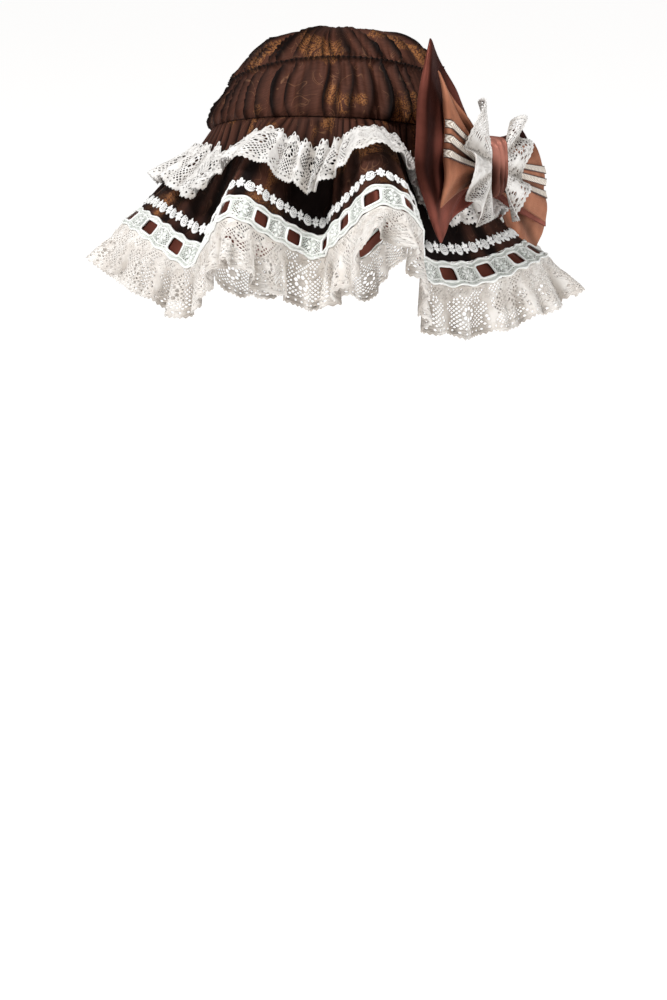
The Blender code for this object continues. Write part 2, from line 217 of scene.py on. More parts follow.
def ring_points_at(angle, ring):
    """Points of an ellipse tipped back; near the seam it also leans to the bow's side."""
    half_width, half_depth, height, drop, rise = ring.T
    across = half_width * np.sin(angle)
    forward = half_depth * np.cos(angle)
    roll = -SEAM_ROLL * across * np.maximum(1 - height / ROLL_ENDS, 0)
    up = height + forward * sin(SEAM_TILT) + roll - drop * np.sin(angle) ** 2
    point = np.stack((across, -forward * cos(SEAM_TILT), up), axis=-1)
    return point + np.multiply.outer(rise, (TOP_LEAN, sin(SEAM_TILT), cos(SEAM_TILT)))


def fold_table():
    """Each fold's seam angle less its even share, end, bulge, hem direction and stand."""
    rows = []
    for k, fold in enumerate(FOLDS):
        edge, fall, dip = radians(fold.edge), radians(fold.fall), radians(fold.dip)
        radius, height, bulge, stand = np.array((fold.radius, fold.height, fold.bulge, fold.stand)) / 1000
        end = (sin(edge) * radius, -cos(edge) * radius, height)
        hem = (sin(fall) * cos(dip), -cos(fall) * cos(dip), -sin(dip))
        rows.append((radians(fold.seam) - tau * k / len(FOLDS), *end, bulge, *hem, stand))
    return np.array(rows)


HANGS = fold_table()
PLACES = np.arange(EDGE_SAMPLES * len(FOLDS) + 1) / EDGE_SAMPLES
EDGE_RUN = run_along(blend_rows(HANGS, PLACES, True)[:, 1:4])
RUN = EDGE_RUN[-1]
PITCH = RUN / SLOTS


def hang_at(x):
    """The fold values at a distance x along the brim's edge."""
    place = np.interp(x % RUN, EDGE_RUN, PLACES)
    row = blend_rows(HANGS, place, True)
    row[:, 0] += tau * place / len(FOLDS)
    return row


def brim_middle(x, down):
    """The brim's smooth surface: x along its edge, down from the seam; the hem lace carries it on."""
    row = hang_at(x)
    end = row[:, 1:4]
    start = ring_points_at(row[:, 0], np.repeat([CROWN_RINGS[0]], len(row), axis=0))
    lift = unit(unit(end * (1, 1, 0)) + (0, 0, 1))
    middle = (start + end) / 2 + lift * row[:, 4:5] * 2
    s = np.clip(down / BRIM_WIDTH, 0, 1)[:, None]
    point = start * (1 - s) ** 2 + middle * 2 * s * (1 - s) + end * s ** 2
    return point + unit(row[:, 5:8]) * np.maximum(down - BRIM_WIDTH, 0)[:, None]


GATHERS = 92
GATHER_DEPTH = 0.0019
BRIM_DRAPES = (31, 47, 59)


def brim_relief(x, down):
    """The height of the brim's gathers below the seam, and of softer folds lower down."""
    turn = (x + 0.1 * down) / RUN
    strength = 0.65 + 0.35 * sways(turn, (5, 11, 23), 4)
    tight = np.exp(-np.maximum(down - 0.006, 0) / 0.02)
    gathers = (pleats(turn, GATHERS, 3, 0.9) - 0.6) * strength * tight
    fine = (pleats(turn, GATHERS * 2, 5, 0.8) - 0.6) * np.exp(-down / 0.006) * 0.35
    drapes = sways(turn, BRIM_DRAPES, 8) * 0.28 * ease(down, 0.006, 0.03)
    return GATHER_DEPTH * (gathers + fine + drapes) * ease(down, -0.001, 0.004)


def brim_place(x, down, off):
    """A point off the brim's gathered surface."""
    point = brim_middle(x, down)
    return point + normals_of(brim_middle, x, down) * (off + brim_relief(x, down))[:, None]


def crown_ring(turn, row):
    return ring_points_at(turn * tau, blend_rows(np.array(CROWN_RINGS), row, False))


CROWN_FOLDS = 50
CROWN_PUCKERS = 132
CROWN_CREASES = 90
CROWN_FOLD_DEPTH = 0.0052
PUCKER_DEPTH = 0.0034
STITCH_GROOVE = 0.0036


def crown_relief(turn, row):
    """Soft folds over both puffs, fine puckers by the two elastics, and the upper one's groove."""
    band = np.sin(pi * np.clip(row / SHIRRING_ROW, 0, 1)) ** 0.55
    over = ease(row, SHIRRING_ROW, SHIRRING_ROW + 1.2) * (1 - 0.95 * ease(row, 6.0, 9.0))
    low = np.where(row < SHIRRING_ROW, 1.0, 0.0)
    wander = 0.0035 * np.sin(row * 1.7 + tau * 4 * turn)
    strength = 0.75 + 0.4 * sways(turn, (6, 13, 27), 14)
    band_folds = (pleats(turn + wander, CROWN_FOLDS, 11, 1.4) - 0.7) * strength
    slant = 0.01 * (row - SHIRRING_ROW) * np.sin(tau * 3 * turn + 1)
    top_folds = (pleats(turn + slant, CROWN_FOLDS - 8, 12, 1.3) - 0.7) * strength
    from_elastic = np.minimum(np.abs(row - SHIRRING_ROW), row + 0.4)
    puckers = (pleats(turn, CROWN_PUCKERS, 13, 0.7) - 0.6) * np.exp(-from_elastic / 0.75)
    uneven = 0.35 + 0.3 * sways(turn + 0.02 * row, (9, 17), 16)
    creases = (pleats(turn - 0.7 * wander, CROWN_CREASES, 15, 1.6) - 0.7) * uneven
    groove = np.exp(-((row - SHIRRING_ROW) / 0.16) ** 2)
    soft = 0.3 * sways(turn, (5, 8, 11), 17) * ease(row, 5.5, 7.5) * (1 - ease(row, 8.0, 9.6))
    folds = band_folds * band * low + top_folds * over * (1 - low) + soft
    creases = creases * (1 - groove) * (1 - ease(row, 6.5, 9.0))
    fine = PUCKER_DEPTH * (puckers * (1 - 0.4 * groove) + 0.6 * creases)
    return (CROWN_FOLD_DEPTH * folds + fine - STITCH_GROOVE * groove) * ease(row, 0.0, 0.35)


def crown_place(turn, row, off):
    point = crown_ring(turn, row)
    normal = normals_of(crown_ring, turn, np.minimum(row, 9.7), 0.0008, 0.06)
    fade = 1 - ease(row, 9.0, 10.0)
    return point + normal * (off + crown_relief(turn, row) * fade)[:, None]


def bow_place(along_by, out_by, up_by):
    """Points in the bow's directions: to its back, out from the cap, and up."""
    flat = np.multiply.outer(along_by, BOW_ALONG) + np.multiply.outer(out_by, BOW_OUT)
    return BOW_MIDDLE + flat + np.multiply.outer(up_by, (0, 0, 1.0))


LOOP_FOLD_HEIGHT = 0.0024


def loop_folds(loop, share, across):
    """How far the satin lifts in the pleats from the knot."""
    tight = (1 - share) ** 1.6
    fan = across * (2.2 - 1.2 * share)
    ridges = np.cos(5.2 * fan + 0.8 + loop.length * 40) + 0.6 * np.cos(9.1 * fan - 1.1)
    return LOOP_FOLD_HEIGHT * ridges * (0.3 + tight) * ease(share, 0.0, 0.12)


def loop_painted_shade(loop, path, across):
    """The satin's painted shade: a painted shadow under the loop above, painted shade in the pleats, and on
    the dark loops a darker top and a lighter lower corner.
    """
    from_fold = path * 2 * loop.length - (loop.length - loop.gap)
    # a painted shadow of the loop that lies above, just before the fold
    under = np.exp(-((from_fold + 0.003) / 0.007) ** 2) * (1 - np.abs(across) ** 4)
    share = np.clip(path * 2, 0, 1)
    pleat = loop_folds(loop, share, across) / LOOP_FOLD_HEIGHT
    upper = ease(across, 0.1, 0.5) * ease(share, 0.98, 0.9)
    # The dark loops: painted shade at the top, painted light at the lower corner.
    if loop.layer < LOOPS["bow_copper_front"].layer:
        lower = ease(across, -0.35, -0.85)
        return 0.62 - 0.7 * under - 0.35 * upper + 0.4 * lower + 0.25 * pleat
    # The copper loops: painted shade towards the knot.
    return 0.75 + 0.4 * pleat - 0.45 * ease(share, 0.6, 0.2)


def loop_surface(loop, path, across, off=0.0):
    """path runs from 0 at the knot over the fold to 1 at the knot behind; across is -1 to 1."""
    reach = KNOT_WIDTH / 2
    radius = loop.gap / 2
    straight = loop.length - radius - reach
    total = 2 * straight + pi * radius
    run = path * total
    bend = np.clip((run - straight) / radius, 0, pi)
    back = np.maximum(run - straight - pi * radius, 0)
    along_by = reach + np.minimum(run, straight) - back + radius * np.sin(bend)
    share = np.clip(along_by / loop.length, 0, 1)
    half_gap = radius * np.minimum(1, 0.25 + 1.6 * share) * (1 - 0.8 * np.abs(across) ** 3)
    out_by = loop.layer + radius + half_gap * np.cos(bend) + off * np.cos(bend)
    out_by = out_by + loop_folds(loop, share, across)
    height = loop_height(loop, share) * across
    drawn = share ** 2 * (loop.tuck * (1 - across ** 2) + loop.pull * across ** 2 + loop.slant * across)
    return bow_place(loop.side * (along_by - drawn), out_by, height + loop.lean * share)


def edit(mesh, change):
    """Change a mesh in place as a bmesh."""
    bm = bmesh.new()
    bm.from_mesh(mesh)
    change(bm)
    bm.to_mesh(mesh)
    bm.free()
    return mesh


def turn_out(bm):
    """Turn closed cutwork or threads outwards, where bending has turned them in."""
    if bm.calc_volume(signed=True) < 0:
        bmesh.ops.reverse_faces(bm, faces=bm.faces)


def close_ends(bm):
    """Give a strip that doesn't go round the cap its two end walls."""
    bmesh.ops.holes_fill(bm, edges=[edge for edge in bm.edges if edge.is_boundary], sides=0)
    bmesh.ops.triangulate(bm, faces=bm.faces)


def link_object(name, data):
    made = bpy.data.objects.new(name, data)
    bpy.context.collection.objects.link(made)
    return made


def piece(name, mesh, material, node, wall=None, offset=0.0, weld=None):
    """Make a finished mesh a piece of the cap, in place of that node's plain solid."""
    if weld:
        edit(mesh, lambda bm: bmesh.ops.remove_doubles(bm, verts=bm.verts, dist=weld))
    mesh.shade_smooth()
    mesh.materials.clear()
    mesh.materials.append(material)
    made = link_object(name, mesh)
    if wall:
        solid = made.modifiers.new("wall", "SOLIDIFY")
        solid.thickness = wall
        solid.offset = offset
        solid.use_quality_normals = False
    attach(made, "root")
    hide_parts(node)
    return made


def coordinates(mesh):
    flat = np.empty(len(mesh.vertices) * 3)
    mesh.vertices.foreach_get("co", flat)
    return flat.reshape(-1, 3)


def set_uv(mesh, places):
    """Write the UV map from each point's place."""
    corners = np.empty(len(mesh.loops), dtype=int)
    mesh.loops.foreach_get("vertex_index", corners)
    mesh.uv_layers.new(name="UVMap").uv.foreach_set("vector", places[corners].ravel())


def write_painted_shade(mesh, depth):
    """Keep each point's painted shade: 0 darkest, as in a valley or under another part, and 1 lightest, as
    on a ridge.
    """
    attribute = mesh.attributes.new("painted_fold_shade", "FLOAT", "POINT")
    attribute.data.foreach_set("value", np.clip(depth, 0, 1))


def drape(mesh, place, shade=None, cut=None):
    """Put a flat mesh in the world by place(); its UV map is cut(), or its flat place in metres."""
    x, y, off = coordinates(mesh).T * MM
    set_uv(mesh, cut(x, y) if cut else np.stack((x, y), axis=1))
    if shade:
        write_painted_shade(mesh, shade(x, y))
    mesh.vertices.foreach_set("co", place(x, y, off).ravel())
    mesh.update()
    return mesh


def finish_mesh(bm, name):
    mesh = bpy.data.meshes.new(name)
    bm.to_mesh(mesh)
    bm.free()
    return mesh


def cloth_grid(width, height, grid, top=0.0):
    """A flat sheet of quads in millimetres, y counted downwards."""
    bm = bmesh.new()
    bmesh.ops.create_grid(bm, x_segments=grid[0], y_segments=grid[1], size=0.5)
    moved = Matrix.Translation((width / 2, top + height / 2, 0))
    bmesh.ops.transform(bm, matrix=moved @ Matrix.Diagonal((width, height, 1, 1)), verts=bm.verts)
    return finish_mesh(bm, "sheet")


class Nodes:
    """Short ways to add nodes to a shader tree. A colour has three numbers."""

    def __init__(self, tree):
        self.tree = tree

    def give(self, socket, value):
        if isinstance(value, bpy.types.NodeSocket):
            self.tree.links.new(value, socket)
        else:
            socket.default_value = (*value, 1) if socket.type == "RGBA" else value

    def add(self, kind, inputs=None, output=0, **settings):
        made = self.tree.nodes.new("ShaderNode" + kind)
        for key, value in settings.items():
            setattr(made, key, value)
        for key, value in (inputs or {}).items():
            self.give(made.inputs[key], value)
        return made.outputs[output]

    def math(self, operation, a, b=0.0):
        return self.add("Math", {0: a, 1: b}, operation=operation)

    def times(self, a, b):
        return self.math("MULTIPLY", a, b)

    def plus(self, a, b):
        return self.math("ADD", a, b)

    def vector(self, operation, a, b):
        return self.add("VectorMath", {0: a, 1: b}, operation=operation)

    def scaled(self, vector, scale):
        return self.add("VectorMath", {0: vector, "Scale": scale}, operation="SCALE")

    def parts(self, vector):
        """The across and down parts of a vector."""
        return self.add("SeparateXYZ", {0: vector}).node.outputs[:2]

    def noise(self, place, scale, detail, output=0, dimensions="2D"):
        inputs = {"Vector": place, "Scale": scale, "Detail": detail}
        return self.add("TexNoise", inputs, output, noise_dimensions=dimensions)

    def cells(self, place, scale, dimensions="2D"):
        return self.add("TexVoronoi", {"Vector": place, "Scale": scale}, voronoi_dimensions=dimensions)

    def ramp(self, value, low, high):
        """0 below low and 1 above high, smoothly."""
        inputs = {"Value": value, "From Min": low, "From Max": high}
        return self.add("MapRange", inputs, interpolation_type="SMOOTHSTEP")

    def mix(self, share, a, b, blend="MIX"):
        return self.add("Mix", {0: share, 6: a, 7: b}, 2, data_type="RGBA", blend_type=blend)

    def with_painted_shade(self, colour, low, high, dark, light):
        """The colour times a painted shade read from the points: dark in a fold's valley, and on a ridge a
        painted highlight where light is above 1.
        """
        depth = self.add("Attribute", output=2, attribute_name="painted_fold_shade")
        return self.mix(1.0, colour, self.mix(self.ramp(depth, low, high), dark, light), "MULTIPLY")

    def set(self, key, value):
        self.give(self.shader[key], value)

    def bump(self, height, strength, distance):
        self.set("Normal", self.add("Bump", {"Height": height, "Strength": strength, "Distance": distance}))

    def on_cloth(self):
        """The place on the flat cloth, in metres."""
        return self.add("UVMap", uv_map="UVMap")

    def use(self, group, place, scale):
        """A node group's outputs, by name."""
        return self.add("Group", {"Place": place, "Scale": scale}, node_tree=group).node.outputs


def new_group(name, *results):
    """A group's new, and its place once scaled."""
    group = bpy.data.node_groups.new(name, "ShaderNodeTree")
    group.interface.new_socket("Place", in_out="INPUT", socket_type="NodeSocketVector")
    group.interface.new_socket("Scale", in_out="INPUT", socket_type="NodeSocketFloat")
    for result in results:
        group.interface.new_socket(result, in_out="OUTPUT", socket_type="NodeSocketFloat")
    given = group.nodes.new("NodeGroupInput").outputs
    new = Nodes(group)
    return new, new.scaled(given["Place"], given["Scale"])


def finish_group(new, **results):
    given = new.tree.nodes.new("NodeGroupOutput").inputs
    for name, value in results.items():
        new.give(given[name], value)
    return new.tree


def weave_group():
    """Crossing threads: Height is the relief of a twill, Slub its uneven threads."""
    new, place = new_group("twill_weave", "Height", "Slub")
    across, down = new.parts(place)
    warp = new.math("SINE", new.times(across, tau))
    twill = new.math("SINE", new.times(new.plus(across, down), pi))
    slub = new.noise(new.vector("MULTIPLY", place, (0.6, 0.05, 1.0)), 1.0, 2.0)
    return finish_group(new, Height=new.plus(new.times(warp, 0.4), new.times(twill, 0.6)), Slub=slub)


def scroll_group():
    """Scrollwork: Line is its curls, Leaf the stippled shapes between them."""
    new, place = new_group("scrollwork", "Line", "Leaf")
    bent = new.vector("ADD", place, new.scaled(new.noise(place, 1.6, 1.0, 1), 1.1))
    lines = []
    for scale, width, start in ((1.0, 0.008, (0.0, 0.0, 0.0)), (1.5, 0.009, (7.3, 1.9, 0.0))):
        field = new.noise(new.vector("ADD", bent, start), scale, 1.0)
        contour = new.math("PINGPONG", new.times(field, 3.0), 0.5)
        lines.append(new.ramp(contour, 3.6 * width, 1.2 * width))
    broken = new.ramp(new.noise(place, 1.9, 1.0), 0.44, 0.54)
    line = new.times(new.math("MAXIMUM", *lines), broken)
    leaves = new.noise(new.vector("ADD", place, (5.3, 2.1, 0.0)), 1.15, 1.5)
    dots = new.ramp(new.cells(place, 30.0), 0.7, 0.3)
    veins = new.math("PINGPONG", new.times(new.noise(bent, 3.4, 1.0), 8.0), 0.5)
    drawn = new.times(new.ramp(veins, 0.06, 0.24), dots)
    return finish_group(new, Line=line, Leaf=new.times(new.ramp(leaves, 0.57, 0.66), drawn))


def thread_group():
    """Spun thread: Height is a rough twisted relief, Tone a soft change of colour."""
    new, place = new_group("spun_thread", "Height", "Tone")
    fibre = new.noise(place, 1.0, 3.0, dimensions="3D")
    height = new.math("SUBTRACT", fibre, new.times(new.cells(place, 0.7, "3D"), 0.6))
    return finish_group(new, Height=height, Tone=new.noise(place, 0.05, 2.0, dimensions="3D"))


WEAVE = weave_group()
SCROLLS = scroll_group()
THREAD = thread_group()
WHITE = (1, 1, 1)


def new_material(name, colour, roughness, sheen=0.0, tint=WHITE, specular=0.5):
    """The nodes of a new material, which carry it and its shader's inputs."""
    material = bpy.data.materials.new(name)
    material.use_nodes = True
    new = Nodes(material.node_tree)
    new.material = material
    new.shader = new.tree.nodes["Principled BSDF"].inputs
    for key, value in (
        ("Base Color", colour), ("Roughness", roughness), ("Sheen Weight", sheen), ("Sheen Tint", tint),
        ("Sheen Roughness", 0.4), ("Specular IOR Level", specular),
    ):
        new.set(key, value)
    return new


def figured_cloth():
    """Dark brown jacquard with bronze scrollwork, with painted shade in the valleys of its folds and a
    painted highlight on their ridges.
    """
    new = new_material("figured cloth", (0.05, 0.019, 0.013), 0.55, specular=0.08)
    weave = new.use(WEAVE, new.on_cloth(), 1700.0)
    scrolls = new.use(SCROLLS, new.on_cloth(), 30.0)
    slub = new.ramp(weave["Slub"], 0.3, 0.7)
    ground = new.mix(slub, (0.054, 0.021, 0.014), (0.068, 0.027, 0.0182))
    lined = new.mix(new.times(scrolls["Line"], 0.5), ground, (0.22, 0.11, 0.06))
    leafed = new.mix(new.times(scrolls["Leaf"], 0.8), lined, (0.3, 0.13, 0.045))
    # painted shade in the fold valleys, down to 0.07 times the colour, and a painted highlight on the
    # ridges, up to 1.36 times
    colour = new.with_painted_shade(leafed, 0.14, 0.95, (0.07, 0.062, 0.062), (1.36, 1.3, 1.24))
    new.set("Base Color", colour)
    shine = new.math("MAXIMUM", scrolls["Line"], scrolls["Leaf"])
    new.set("Roughness", new.math("SUBTRACT", 0.6, new.times(shine, 0.2)))
    new.bump(new.plus(weave["Height"], new.times(shine, 2.0)), 0.35, 0.00018)
    return new.material


def satin(name, dark, light, sheen, tint):
    """A close smooth weave with long floats, whose tone drifts along the cloth."""
    new = new_material(name, light, 0.36, sheen, tint, 0.08)
    new.set("Specular Tint", tint)
    new.set("Metallic", 0.35)
    weave = new.use(WEAVE, new.on_cloth(), 2600.0)
    tone = new.noise(new.on_cloth(), 38.0, 3.0)
    toned = new.mix(new.ramp(tone, 0.25, 0.75), dark, light)
    # painted shade in pleats and under the loops above, and a painted highlight of 1.1 times the colour on
    # the lit parts
    colour = new.with_painted_shade(toned, 0.0, 1.0, (0.08, 0.06, 0.055), (1.1, 1.1, 1.1))
    new.set("Base Color", colour)
    floats = new.plus(new.times(weave["Slub"], 1.4), weave["Height"])
    new.set("Roughness", new.ramp(floats, -2.6, 4.2))
    new.bump(floats, 0.12, 0.00012)
    return new.material


def lace_thread(name, dark, light):
    """White cotton thread, close stitched."""
    new = new_material(name, light, 0.82, 0.15, WHITE, 0.3)
    thread = new.use(THREAD, new.add("TexCoord", output=3), 2600.0)
    toned = new.mix(new.ramp(thread["Tone"], 0.35, 0.65), dark, light)
    # painted shade in the lace's folds and the brim's valleys, down to 0.6 times the colour
    new.set("Base Color", new.with_painted_shade(toned, 0.0, 0.8, (0.6, 0.57, 0.54), WHITE))
    new.bump(thread["Height"], 0.55, 0.00035)
    return new.material


def braid_cord():
    """Cream braid with brown edges; the pattern runs along the strip's UV map."""
    new = new_material("cream braid", (0.7, 0.6, 0.48), 0.7, 0.2, WHITE, 0.3)
    along, across = new.parts(new.on_cloth())
    from_middle = new.math("ABSOLUTE", across)
    plait = new.plus(new.times(along, 2600.0), new.times(from_middle, 2600.0))
    strands = new.math("SINE", plait)
    pale = new.mix(new.ramp(strands, -0.9, 0.5), (0.46, 0.38, 0.31), (0.86, 0.79, 0.7))
    edge = new.ramp(from_middle, 0.00205, 0.00225)
    new.set("Base Color", new.mix(edge, pale, (0.06, 0.024, 0.018)))
    new.bump(strands, 0.6, 0.0003)
    return new.material


CLOTH = figured_cloth()
DARK_SATIN = satin("dark satin", (0.12, 0.035, 0.025), (0.235, 0.072, 0.053), 0.04, (0.9, 0.45, 0.36))
COPPER_SATIN = satin("copper satin", (0.27, 0.103, 0.058), (0.43, 0.182, 0.106), 0.05, (1.0, 0.74, 0.58))
RIBBON_SATIN = satin("ribbon satin", (0.06, 0.017, 0.0115), (0.12, 0.036, 0.025), 0.05, (0.9, 0.5, 0.4))
KNOT_SATIN = satin("knot satin", (0.21, 0.078, 0.057), (0.42, 0.175, 0.132), 0.05, (0.95, 0.55, 0.45))
WHITE_LACE = lace_thread("white lace", (0.72, 0.695, 0.665), (0.83, 0.81, 0.785))
ROSE_LACE = lace_thread("rose lace", (0.92, 0.925, 0.91), (0.96, 0.96, 0.95))
BEADING_NET = lace_thread("beading net", (0.58, 0.61, 0.57), (0.74, 0.76, 0.72))
BEADING_LACE = lace_thread("beading lace", (0.88, 0.9, 0.87), (0.94, 0.95, 0.93))
HEM_LACE = lace_thread("hem lace", (0.72, 0.67, 0.62), (0.83, 0.795, 0.755))
BRAID = braid_cord()


CROWN_ROWS = len(CROWN_RINGS) - 1


def squeeze(share):
    """More rows near the two elastics, where the puckers are fine."""
    low = share + 0.028 * np.sin(tau * share / 0.4)
    high = share + 0.03 * np.sin(tau * (share - 0.4) / 0.6)
    return CROWN_ROWS * np.where(share < 0.4, low, high)


PROFILE_ROWS = np.linspace(0, CROWN_ROWS, 201)
PROFILE_RUN = run_along(crown_ring(np.full(len(PROFILE_ROWS), 0.25), PROFILE_ROWS))
CROWN_CUT = PROFILE_RUN[-1]


def cut_of_crown(turns, shares):
    """Where each point lay in the flat round of cloth that the crown was cut from."""
    radius = CROWN_CUT - np.interp(squeeze(shares), PROFILE_ROWS, PROFILE_RUN)
    return np.stack((radius * np.cos(tau * turns), radius * np.sin(tau * turns)), axis=1)


def build_crown():
    mesh = cloth_grid(1 / MM, 1 / MM, CROWN_GRID)

    def place(turn, share, off):
        return crown_place(turn, squeeze(share), off)

    # Painted shade: darker along the seam to the brim, in the fold valleys and in the elastic's groove,
    # lighter on the ridges.
    def shade(turn, share):
        row = squeeze(share)
        return 0.62 - 0.5 * np.exp(-((row / 0.14) ** 2)) + crown_relief(turn, row) / CROWN_FOLD_DEPTH

    drape(mesh, place, shade, cut_of_crown)
    made = piece("crown_gathered", mesh, CLOTH, "crown", CLOTH_WALL, -1.0, WELD)


def in_valley(x, down):
    """1 in the bottom of the brim's folds, 0 on their ridges and by the seam; the mask of the painted shade
    in those valleys.
    """
    end = hang_at(x)[:, 1:3]
    return (1 - ease(np.hypot(*end.T), 0.112, 0.14)) * ease(down, 0.008, 0.035)


def build_brim():
    mesh = cloth_grid(RUN / MM, BEADING_TOP / MM, BRIM_GRID)

    # Painted shade: darker in the gathers' valleys and much darker down in the brim's deep folds.
    def shade(x, down):
        ridges = 0.5 + brim_relief(x, down) / GATHER_DEPTH / 1.2
        return ridges * (1 - 0.8 * in_valley(x, down))

    drape(mesh, brim_place, shade)
    made = piece("brim_flounce", mesh, CLOTH, "brim", CLOTH_WALL, weld=WELD)


# A flat outline is filled at this turn, because the filler misjudges points that lie level.
FILL_TURN = 0.37
LONGEST_EDGE = 4.5


def flat_loops(loops, thickness):
    """A flat sheet of closed loops in millimetres; a loop inside another is a hole."""
    curve = bpy.data.curves.new("cutwork", "CURVE")
    curve.dimensions = "2D"
    curve.fill_mode = "BOTH"
    curve.extrude = thickness / 2
    turned = Matrix.Rotation(FILL_TURN, 4, "Z")
    for loop in loops:
        spline = curve.splines.new("POLY")
        spline.points.add(len(loop) - 1)
        for point, (x, y) in zip(spline.points, loop):
            point.co = (*(turned @ Vector((x, y, 0))), 1)
        spline.use_cyclic_u = True
    bm = bmesh.new()
    add_curve(bm, curve)
    bmesh.ops.transform(bm, matrix=turned.inverted(), verts=bm.verts)
    bmesh.ops.remove_doubles(bm, verts=bm.verts, dist=0.001)
    for _ in range(2):
        long_edges = [e for e in bm.edges if e.calc_length() > LONGEST_EDGE]
        bmesh.ops.subdivide_edges(bm, edges=long_edges, cuts=1)
        bmesh.ops.triangulate(bm, faces=bm.faces)
    return bm


def add_curve(bm, curve):
    """Add a curve's mesh to a bmesh."""
    holder = link_object(curve.name, curve)
    mesh = bpy.data.meshes.new_from_object(holder)
    bpy.data.objects.remove(holder, do_unlink=True)
    bm.from_mesh(mesh)
    bpy.data.meshes.remove(mesh)


def cord(bm, points, radius, closed=False, resolution=0, taper=None):
    """Add a round thread along points in millimetres."""
    curve = bpy.data.curves.new("thread", "CURVE")
    curve.dimensions = "3D"
    curve.bevel_depth = radius
    curve.bevel_resolution = resolution
    curve.use_fill_caps = not closed
    spline = curve.splines.new("POLY")
    spline.points.add(len(points) - 1)
    for k, (point, place) in enumerate(zip(spline.points, points)):
        point.co = (*place, 1)
        point.radius = taper(k / (len(points) - 1)) if taper else 1.0
    spline.use_cyclic_u = closed
    add_curve(bm, curve)


def leaf(bm, middle, angle, length, width, height, sides=6, rings=4):
    """A padded petal: a flattened ball laid along an angle."""
    size = Matrix.Diagonal((length / 2, width / 2, height, 1))
    shape = Matrix.Translation(middle) @ Matrix.Rotation(angle, 4, "Z") @ size
    bmesh.ops.create_uvsphere(bm, u_segments=sides, v_segments=rings, radius=1.0, matrix=shape)


def ring_points(x, y, radius, count, turn=0.0, z=None):
    points = []
    for k in range(count):
        angle = turn + tau * k / count
        point = (x + radius * cos(angle), y + radius * sin(angle))
        points.append(point if z is None else (*point, z))
    return points


# Taller than any tile, in millimetres
NET_HEIGHT = 60


def net_holes(width, pitch, hole, keep_out, inside):
    """Small eyelets in a diamond net, clear of the solid figures."""
    holes = []
    columns = round(width / pitch)
    step = width / columns
    for row in range(int(2 * NET_HEIGHT / pitch)):
        y = row * pitch / 2
        for column in range(columns):
            x = -width / 2 + (column + (0.75 if row % 2 else 0.25)) * step
            clear = all(
                min(abs(x - cx), width - abs(x - cx)) ** 2 + (y - cy) ** 2 > r * r for cx, cy, r in keep_out
            )
            if clear and inside(x, y) and abs(x) + hole < width / 2 - 0.15:
                holes.append(ring_points(x, y, hole, 4))
    return holes


def open_sides(bm, width):
    """Take the end walls off a tile, so that tiles join."""
    half = width / 2 - 0.002
    ends = []
    for face in bm.faces:
        places = [v.co.x for v in face.verts]
        if min(places) > half or max(places) < -half:
            ends.append(face)
    bmesh.ops.delete(bm, geom=ends, context="FACES")


def repeat(bm, width, count, start, merge=True):
    """Copies of a tile side by side from start on, merged or loose."""
    bmesh.ops.translate(bm, verts=bm.verts, vec=(start, 0, 0))
    holder = link_object("tile", finish_mesh(bm, "tile"))
    row = holder.modifiers.new("row", "ARRAY")
    row.count = count
    row.use_relative_offset = False
    row.use_constant_offset = True
    row.constant_offset_displace = (width, 0, 0)
    row.use_merge_vertices = merge
    row.merge_threshold = 0.0001
    strip = bpy.data.meshes.new_from_object(holder.evaluated_get(bpy.context.evaluated_depsgraph_get()))
    bpy.data.objects.remove(holder, do_unlink=True)
    return strip


def open_to_light(x, y):
    """No painted shade on a lace that lies flat: fully light all over."""
    return np.ones_like(x)


def lace_strip(
    name, tile, width, count, place, shade, material, node, ring=True, thread=None, start=0.5
):
    """Repeat and drape a tile's cutwork and its raised threads, and make a piece of each."""
    cutwork, raised = tile
    start = width * start
    net_mesh = repeat(cutwork, width, count, start)
    if not ring:
        edit(net_mesh, close_ends)
    net = piece(name, edit(drape(net_mesh, place, shade), turn_out), material, node, weld=WELD / 2)
    raised_mesh = edit(drape(repeat(raised, width, count, start, merge=False), place, shade), turn_out)
    return net, piece(name + "_threads", raised_mesh, thread or material, node)


TILE_WIDTH = RUN / MM / SLOTS
SCALLOP = 3.4
PICOTS = 13
PICOT = 1.3
BORDER = 5.0
BORDER_EYELETS = 9
ARCHES = 5
# The eyelet rings of each lace: place across and down, as shares of the half tile and the height, the
# ring's radius, the holes' radius and their number
UPPER_ROSETTES = (
    (0, 0.42, 3.6, 1.3, 8), (1, 0.58, 3.1, 1.2, 7), (0.52, 0.22, 1.6, 0.8, 5),
    (-0.52, 0.22, 1.6, 0.8, 5), (0.5, 0.7, 1.4, 0.8, 4), (-0.5, 0.7, 1.4, 0.8, 4),
)
HEM_ROSETTES = (
    (0, 0.54, 3.6, 1.3, 8), (0.5, 0.3, 1.6, 0.8, 5), (-0.5, 0.3, 1.6, 0.8, 5),
    (1, 0.62, 2.2, 0.9, 6),
)
FAN_ROSETTES = (
    (0, 0.6, 3.3, 1.15, 8), (1, 0.46, 2.4, 1.0, 6), (0, 0.27, 1.8, 0.9, 5),
)
# The raised flowers of each lace: place as in the rosettes, and radius
FLOWERS = ((1.0, 0.24, 2.7), (0.0, 0.13, 2.2))
PETALS = 5


